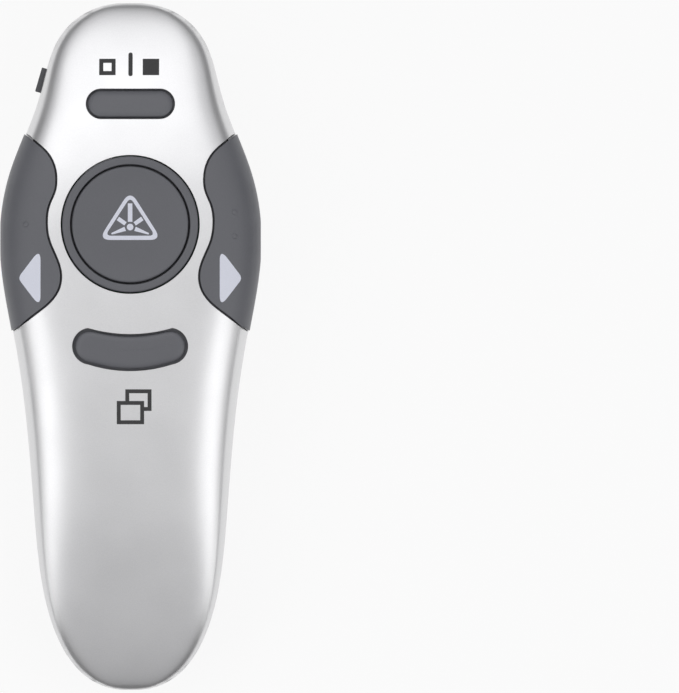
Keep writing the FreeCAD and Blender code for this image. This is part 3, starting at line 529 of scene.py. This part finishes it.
def crowned_cap(name, outline, deepest, body):
    """A key from its outline: hollow, skirt, flange, side wall, rounded edge and crowned top."""
    skirt_end = flange_top + flange_wall
    sections = [(skirt_wall, cap_wall), (skirt_wall, skirt_end)]
    sections += [(-flange_reach, skirt_end), (-flange_reach, flange_top), (0, flange_top)]
    edge_steps = 7
    for step in range(edge_steps + 1):
        turn = math.pi / 2 * step / edge_steps
        sections.append((edge_reach * (1 - math.cos(turn)), edge_fall * (1 - math.sin(turn))))
    top_steps = 4
    for step in range(1, top_steps + 1):
        sections.append((edge_reach + (deepest - edge_reach) * step / top_steps, 0))
    post_gap = 0.05
    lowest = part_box(body.replace("key", "plunger"))[1].z + post_gap * mm
    rings = []
    for inset, fall in sections:
        ring = []
        for point in offset_outline(outline, inset):
            height = form_height(key_tree, point.real, point.imag) - fall * mm
            ring.append(Vector((point.real * mm, point.imag * mm, max(height, lowest))))
        rings.append(ring)
    count = len(outline)
    faces = [tuple(reversed(range(count)))]
    for row in range(len(rings) - 1):
        for index in range(count):
            after = (index + 1) % count
            low, high = row * count, (row + 1) * count
            faces.append((low + index, low + after, high + after, high + index))
    faces.append(tuple((len(rings) - 1) * count + index for index in range(count)))
    mesh = bpy.data.meshes.new(name)
    mesh.from_pydata([point for ring in rings for point in ring], [], faces)
    for face in mesh.polygons:
        face.use_smooth = True
    piece = add_piece(name, mesh, key_plastic, body)
    crisp = piece.modifiers.new("crisp", "EDGE_SPLIT")
    crisp.split_angle = math.radians(50)
    return piece


cap_steps = 40
screen_place = 45.75
screen_reach = 16.0 / 2 - 4.95 / 2
screen_radius = 4.85 / 2
pill = []
for middle, start in ((screen_reach, -90), (-screen_reach, 90)):
    for step in range(cap_steps + 1):
        turn = math.radians(start + 180 * step / cap_steps)
        pill.append(middle + 1j * screen_place + screen_radius * np.exp(1j * turn))
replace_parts(crowned_cap("screen_cap", pill, 2.4, "screen_key"), "screen_button")

window_place = -1.15
window_half = 3.2
window_reach = 10.35
inset_share = 0.9
upper_share = 1.28
lower_share = 0.55
tip_share = 0.34
middle_share = 0.933
lobe = window_reach - window_half * inset_share
upper_side = (lobe, window_place + window_half * upper_share)
lower_side = (lobe, window_place - window_half * lower_share)
tip = (window_reach, window_place + window_half * tip_share)
upper_middle = (0, window_place + window_half * middle_share)
lower_middle = (0, window_place - window_half * middle_share)


def mirrored(point):
    """The same place on the other side of the middle."""
    return (-point[0], point[1])


saddle = []
for start, middle, end in (
    (lower_side, tip, upper_side),
    (upper_side, upper_middle, mirrored(upper_side)),
    (mirrored(upper_side), mirrored(tip), mirrored(lower_side)),
    (mirrored(lower_side), lower_middle, lower_side),
):
    saddle += arc_points(start, middle, end, cap_steps)
saddle = np.array(saddle)
for softening in range(12):
    saddle = (np.roll(saddle, 1) + saddle + np.roll(saddle, -1)) / 3
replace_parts(crowned_cap("window_cap", saddle, 2.6, "window_key"), "window_button")

# Ring and laser button
# A grey moulded ring pressed into the collar of the face, with the round laser button in it.
# The button is a little dished, with an eased rim.
ring_place = 23.0
ring_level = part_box("button_bezel")[1].z / mm
cap_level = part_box("laser_button")[1].z / mm


def rounded_outline(points, radius, steps=6):
    """A closed outline with each corner rounded, where a corner may give its own radius."""
    count = len(points)
    smooth = []
    for index, point in enumerate(points):
        own = point[2] if len(point) > 2 else radius
        corner = complex(point[0], point[1])
        before = complex(*points[index - 1][:2]) - corner
        after = complex(*points[(index + 1) % count][:2]) - corner
        if own == 0:
            smooth.append(corner)
            continue
        reach = min(own, abs(before) / 2, abs(after) / 2)
        start = corner + before / abs(before) * reach
        end = corner + after / abs(after) * reach
        for step in range(steps + 1):
            share = step / steps
            smooth.append(start * (1 - share) ** 2 + 2 * corner * share * (1 - share) + end * share**2)
    return smooth


def turned_piece(name, profile, y, level, finish, body, radius=0.15):
    """A round piece with an upright axis, from its half section in mm."""
    outline = rounded_outline(profile, radius)
    turns = 144
    form = bmesh.new()
    rows = []
    for turn in range(turns):
        way = np.exp(2j * math.pi * turn / turns)
        row = []
        for point in outline:
            around = point.real * way
            row.append(form.verts.new(Vector((around.real, y + around.imag, level + point.imag)) * mm))
        rows.append(row)
    count = len(outline)
    for turn in range(turns):
        here, there = rows[turn], rows[(turn + 1) % turns]
        for index in range(count):
            after = (index + 1) % count
            form.faces.new((here[index], there[index], there[after], here[after]))
    bmesh.ops.remove_doubles(form, verts=form.verts[:], dist=0.001 * mm)
    bmesh.ops.dissolve_degenerate(form, edges=form.edges[:], dist=0.0005 * mm)
    bmesh.ops.recalc_face_normals(form, faces=form.faces[:])
    mesh = bpy.data.meshes.new(name)
    form.to_mesh(mesh)
    form.free()
    for face in mesh.polygons:
        face.use_smooth = True
    piece = add_piece(name, mesh, finish, body)
    crisp = piece.modifiers.new("crisp", "EDGE_SPLIT")
    crisp.split_angle = math.radians(50)
    return piece


ring_profile = [(11.3, -3.1), (12.82, -3.1), (12.82, 0, 0.4), (11.3, 0, 0.2)]
ring = turned_piece("laser_ring", ring_profile, ring_place, ring_level, key_plastic, "case")
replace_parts(ring, "button_bezel")
cap_profile = [
    (0, -0.22, 0), (8.2, -0.16, 2.0), (10.3, -0.02, 0.8), (10.7, 0, 0.2), (10.95, -0.2, 0.15),
    (10.95, -3.65), (12.25, -3.65), (12.25, -4.35), (0, -4.35, 0),
]
cap = turned_piece(
    "laser_cap", cap_profile, ring_place, cap_level, key_plastic, "laser_key", radius=0.1)
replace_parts(cap, "laser_button")

# Laser sign on the button
# A pale printed triangle with a burst of rays in it.
# It is pad-printed on the dished top of the laser button.
pale_ink = make_finish("pale_ink", (0.82, 0.84, 0.94), 0.45, grain=0.2, relief=0.002, mottle=0.03)


def drawing_of(name, outlines):
    """A flat filled drawing from closed outlines in mm, where one inside another is a hole."""
    drawing = bpy.data.curves.new(name, "CURVE")
    drawing.dimensions = "2D"
    drawing.fill_mode = "BOTH"
    for outline in outlines:
        line = drawing.splines.new("POLY")
        line.points.add(len(outline) - 1)
        for point, place in zip(line.points, outline):
            point.co = (place.real * mm, place.imag * mm, 0, 1)
        line.use_cyclic_u = True
    return drawing


def rectangle(x, y, width, height):
    """The corners of a rectangle about its middle."""
    corners = ((-1, -1), (1, -1), (1, 1), (-1, 1))
    return [complex(x + side * width / 2, y + rise * height / 2) for side, rise in corners]


def ray(centre, turn, near, away, root, end):
    """A bar that points away from a centre, from its width at the root to its width at the end."""
    way = np.exp(1j * math.radians(turn))
    corners = ((near, -root / 2), (away, -end / 2), (away, end / 2), (near, root / 2))
    return [centre + way * complex(along, across) for along, across in corners]


def surface_tree(piece):
    """A search tree over a piece of the scene."""
    points = [piece.matrix_world @ vertex.co for vertex in piece.data.vertices]
    return BVHTree.FromPolygons(points, [tuple(face.vertices) for face in piece.data.polygons])


up_stand = Matrix.Translation((0, 0, above * mm))
burst = complex(0, 22.5)
triangle = rounded_outline([(-5.95, 20.07, 2.3), (5.95, 20.07, 2.3), (0, 29.45, 2.4)], 0, steps=10)
hollow = rounded_outline([(-4.7, 20.86, 1.2), (4.7, 20.86, 1.2), (0, 28.1, 1.1)], 0, steps=10)
sign = [triangle, hollow]
spot_radius = 0.63
sign.append([burst + spot_radius * np.exp(2j * math.pi * step / 20) for step in range(20)])
for turn, near, away, root, end in (
    (90, 0.98, 4.45, 0.86, 0.86), (35, 1.05, 2.8, 0.76, 0.8), (145, 1.05, 2.8, 0.76, 0.8),
    (-20, 0.98, 3.75, 0.85, 0.3), (200, 0.98, 3.75, 0.85, 0.3),
):
    sign.append(ray(burst, turn, near, away, root, end))
bpy.context.view_layer.update()
laser_sign = drawing_of("laser_sign", sign)
print_on("laser_sign", laser_sign, surface_tree(cap), pale_ink, "laser_key", up_stand)

# Wings, the previous and next keys
# Grey mouldings that wrap from the face down to the seam, with a pale arrow and raised dots.
# A flange under the face holds each one, and it rocks on its inner edge.
key_arcs = guide_tree(body_form("key_arcs", key_rise, rounded=False))
for key in ("previous", "next"):
    soft_shell(key + "_cap", key + "_key", key_plastic, key + "_wing", key_form, key_arcs)
dot_radius = 0.55
dot_rise = 0.13
dot_steps = 20
dot_profile = ((1.0, -0.6), (1.0, 0.0), (0.9, 0.45), (0.7, 0.75), (0.4, 0.93), (0.12, 1.0))
for side, wing, dots in (
    (-1, "previous_wing", [(19.7, 23.0)]),
    (1, "next_wing", [(19.7, 25.3), (19.7, 20.8)]),
):
    corners = [(side * 16.88, 7.3), (side * 16.88, 18.5), (side * 21.16, 12.9, 0.95)]
    arrow = rounded_outline(corners, 2.36, steps=10)
    drawing = drawing_of("arrow", [arrow])
    print_on(wing + "_arrow", drawing, key_tree, pale_ink, wing, up_stand)
    for number, (x, y) in enumerate(dots):
        start = Vector((side * x, y, above)) * mm
        spot, normal, face, far = key_tree.ray_cast(start, Vector((0, 0, -1)))
        turn = normal.to_track_quat("Z", "Y").to_matrix()
        dot = bmesh.new()
        rows = []
        for along, up in dot_profile:
            row = []
            for step in range(dot_steps):
                way = np.exp(2j * math.pi * step / dot_steps) * dot_radius * along
                row.append(dot.verts.new(spot + turn @ Vector((way.real, way.imag, up * dot_rise)) * mm))
            rows.append(row)
        for low, high in zip(rows, rows[1:]):
            for step in range(dot_steps):
                dot.faces.new((low[step - 1], low[step], high[step], high[step - 1]))
        dot.faces.new(rows[-1])
        dot.faces.new(list(reversed(rows[0])))
        mesh = bpy.data.meshes.new("dot")
        dot.to_mesh(mesh)
        dot.free()
        for face in mesh.polygons:
            face.use_smooth = True
        add_piece(f"{wing}_dot_{number + 1}", mesh, key_plastic, wing)

# Face plate
# The upper shell, moulded in ABS with its openings and sprayed satin silver.
# It snaps over the lip of the rear housing, and its bosses take the case screws.
soft_shell("face_shell", "face_plate", silver, "case", shell_form, shell_arcs)

# Signs on the face
# Dark prints over the screen button and under the window button.
# They are pad-printed on the lacquer, a bar and two squares above and two frames below.
bar = rounded_outline([(-0.405, 51.02), (0.405, 51.02), (0.405, 55.48), (-0.405, 55.48)], 0.4)
filled = rectangle(3.85, 52.75, 3.1, 3.1)
outer_square = rectangle(-4.36, 52.75, 3.1, 3.1)
inner_square = rectangle(-4.36, 52.75, 1.55, 1.55)
screen_sign = drawing_of("screen_sign", [bar, filled, outer_square, inner_square])
print_on("screen_sign", screen_sign, shell_tree, dark_ink, "case", up_stand)
front_outer = rectangle(0.06, -12.45, 5.15, 4.38)
front_inner = rectangle(0.06, -12.45, 3.67, 2.9)
back_line = [complex(*corner) for corner in (
    (-0.91, -10.26), (-0.17, -10.26), (-0.17, -8.8), (3.29, -8.8), (3.29, -11.4), (2.635, -11.4),
    (2.635, -12.14), (4.03, -12.14), (4.03, -8.06), (-0.91, -8.06))]
for part_name, lines in (("front", [front_outer, front_inner]), ("back", [back_line])):
    window_sign = drawing_of("window_sign", lines)
    print_on("window_sign_" + part_name, window_sign, shell_tree, dark_ink, "case", up_stand)

# Case screws
# Blackened steel, with flat heads and plain shanks.
# They are driven up through the inner floor into the bosses of the face.
screw_black = make_finish("screw_steel", (0.06, 0.06, 0.065), 0.35, metallic=0.8, grain=0.3)
dress("case_screws", screw_black)

# Cells
# Two AAA cells with plain dark jackets and bare steel ends.
# They lie side by side in the rear housing, between the spring and the contact plates.
jacket = make_finish("cell_jacket", (0.035, 0.036, 0.040), 0.3, metallic=0.4, grain=0.4)
button_reach = 2.6
for node in ("battery_1", "battery_2"):
    cell = dress(node, jacket)
    cell.data.materials.append(plain_steel)
    cell_middle = sum((Vector(corner) for corner in cell.bound_box), Vector()) / 8
    for face in cell.data.polygons:
        across = Vector((face.normal.x, 0, face.normal.z)).length
        from_middle = face.center - cell_middle
        off_axis = Vector((from_middle.x, 0, from_middle.z)).length
        face.material_index = 1 if across < 0.5 or off_axis < button_reach * mm else 0

# USB receiver
# White moulded body with ribs, and a folded steel plug with two windows.
# A moulded tongue in the plug carries the gold contacts, and a small board joins them to the body.
receiver_white = make_finish("white_moulding", (0.80, 0.80, 0.79), 0.32, grain=0.3, relief=0.004, mottle=0.02)
plug_colour = (0.60, 0.60, 0.61)
plug_steel = make_finish("plug_steel", plug_colour, 0.25, metallic=1.0, grain=0.3, relief=0.002, mottle=0.05)
gold = make_finish("gold_plate", (0.85, 0.60, 0.22), 0.25, metallic=1.0, grain=0.3)
tongue_white = make_finish("tongue_moulding", (0.75, 0.74, 0.62), 0.4, grain=0.3, mottle=0.03)
ease(dress("receiver_body", receiver_white), 0.08)
ease(dress("receiver_plug", plug_steel), 0.06)
dress("receiver_contacts", gold)
dress("receiver_tongue", tongue_white)
dress("receiver_board", board_green)

# Battery cover
# The rear of the lower shell, moulded in ABS and sprayed silver like the rest.
# It has the finger recess and the receiver's slot, and slides off towards the tail.
soft_shell("cover_shell", "battery_cover", silver, "cover", shell_form, shell_arcs)

# Floor, light and camera
# A pale floor that reads white to the camera and keeps the clicker's shadow.
# Two long soft boxes at the sides and a broad one at the head light the face.
floor_reach = 6.0
floor_gap = 0.02
bpy.ops.mesh.primitive_plane_add(size=floor_reach, location=(0, 0, cad_box[0].z - floor_gap * mm))
floor = bpy.context.object
floor.name = "floor"
paper = bpy.data.materials.new("pale_floor")
paper.use_nodes = True
nodes = paper.node_tree.nodes
links = paper.node_tree.links
nodes["Principled BSDF"].inputs["Base Color"].default_value = (0.9, 0.9, 0.9, 1)
nodes["Principled BSDF"].inputs["Roughness"].default_value = 0.8
glow = nodes.new("ShaderNodeEmission")
path = nodes.new("ShaderNodeLightPath")
seen = nodes.new("ShaderNodeMath")
seen.operation = "MAXIMUM"
links.new(path.outputs["Is Camera Ray"], seen.inputs[0])
links.new(path.outputs["Is Glossy Ray"], seen.inputs[1])
seen_too = nodes.new("ShaderNodeMath")
seen_too.operation = "MAXIMUM"
links.new(seen.outputs[0], seen_too.inputs[0])
links.new(path.outputs["Is Transmission Ray"], seen_too.inputs[1])
share = nodes.new("ShaderNodeMath")
share.operation = "MULTIPLY"
share.inputs[1].default_value = 0.88
links.new(seen_too.outputs[0], share.inputs[0])
mix = nodes.new("ShaderNodeMixShader")
links.new(share.outputs[0], mix.inputs["Fac"])
links.new(nodes["Principled BSDF"].outputs["BSDF"], mix.inputs[1])
links.new(glow.outputs["Emission"], mix.inputs[2])
clear = nodes.new("ShaderNodeBsdfTransparent")
side = nodes.new("ShaderNodeNewGeometry")
one_sided = nodes.new("ShaderNodeMixShader")
links.new(side.outputs["Backfacing"], one_sided.inputs["Fac"])
links.new(mix.outputs["Shader"], one_sided.inputs[1])
links.new(clear.outputs["BSDF"], one_sided.inputs[2])
links.new(one_sided.outputs["Shader"], nodes["Material Output"].inputs["Surface"])
floor.data.materials.append(paper)


def soft_lamp(name, place, width, length, power):
    """A soft box that looks at the middle of the clicker."""
    lamp = bpy.data.lights.new(name, "AREA")
    lamp.shape = "RECTANGLE"
    lamp.size = width
    lamp.size_y = length
    lamp.energy = power
    holder = bpy.data.objects.new(name, lamp)
    holder.location = place
    holder.rotation_euler = (-Vector(place)).to_track_quat("-Z", "Y").to_euler()
    bpy.context.collection.objects.link(holder)


soft_lamp("head_light", (-0.1, 0.45, 0.9), 0.7, 0.4, 0.75)
soft_lamp("right_light", (0.7, -0.27, 0.68), 0.4, 1.3, 2.0)
soft_lamp("left_light", (-0.7, -0.27, 0.68), 0.4, 1.3, 2.0)
world = bpy.data.worlds.new("studio")
bpy.context.scene.world = world
world.use_nodes = True
nodes = world.node_tree.nodes
links = world.node_tree.links
sky = nodes.new("ShaderNodeTexCoord")
split = nodes.new("ShaderNodeSeparateXYZ")
links.new(sky.outputs["Generated"], split.inputs["Vector"])
fade = nodes.new("ShaderNodeValToRGB")
for place, level in ((0.1, 0.35), (0.18, 0.14), (0.5, 0.16), (0.66, 0.6), (0.9, 0.84)):
    fade.color_ramp.elements.new(place).color = (level, level, level * 1.02, 1)
fade.color_ramp.elements[0].color = (0.6, 0.6, 0.61, 1)
fade.color_ramp.elements[-1].color = (0.84, 0.84, 0.85, 1)
height = nodes.new("ShaderNodeMath")
height.operation = "ABSOLUTE"
links.new(split.outputs["Z"], height.inputs[0])
links.new(height.outputs["Value"], fade.inputs["Fac"])
lean = nodes.new("ShaderNodeMapRange")
lean.inputs["From Min"].default_value = -0.45
lean.inputs["From Max"].default_value = 0.35
lean.inputs["To Min"].default_value = 0.55
lean.inputs["To Max"].default_value = 1.08
links.new(split.outputs["Y"], lean.inputs["Value"])
leaning = nodes.new("ShaderNodeVectorMath")
leaning.operation = "SCALE"
links.new(fade.outputs["Color"], leaning.inputs[0])
links.new(lean.outputs["Result"], leaning.inputs["Scale"])
white = nodes.new("ShaderNodeMix")
white.data_type = "RGBA"
white.inputs["B"].default_value = (1, 1, 1, 1)
path = nodes.new("ShaderNodeLightPath")
links.new(path.outputs["Is Camera Ray"], white.inputs["Factor"])
links.new(leaning.outputs["Vector"], white.inputs["A"])
links.new(white.outputs["Result"], nodes["Background"].inputs["Color"])
nodes["Background"].inputs["Strength"].default_value = 1.0

camera_height = 2.5
camera_side = 39.43
view_height = 130.75 * mm
face_height = 25
camera = bpy.data.cameras.new("camera")
camera.sensor_width = 36.0
camera.lens = camera.sensor_width * (camera_height - face_height * mm) / view_height
holder = bpy.data.objects.new("camera", camera)
holder.location = (camera_side * mm, 0, camera_height)
bpy.context.collection.objects.link(holder)
scene = bpy.context.scene
scene.camera = holder
scene.view_settings.view_transform = "Standard"
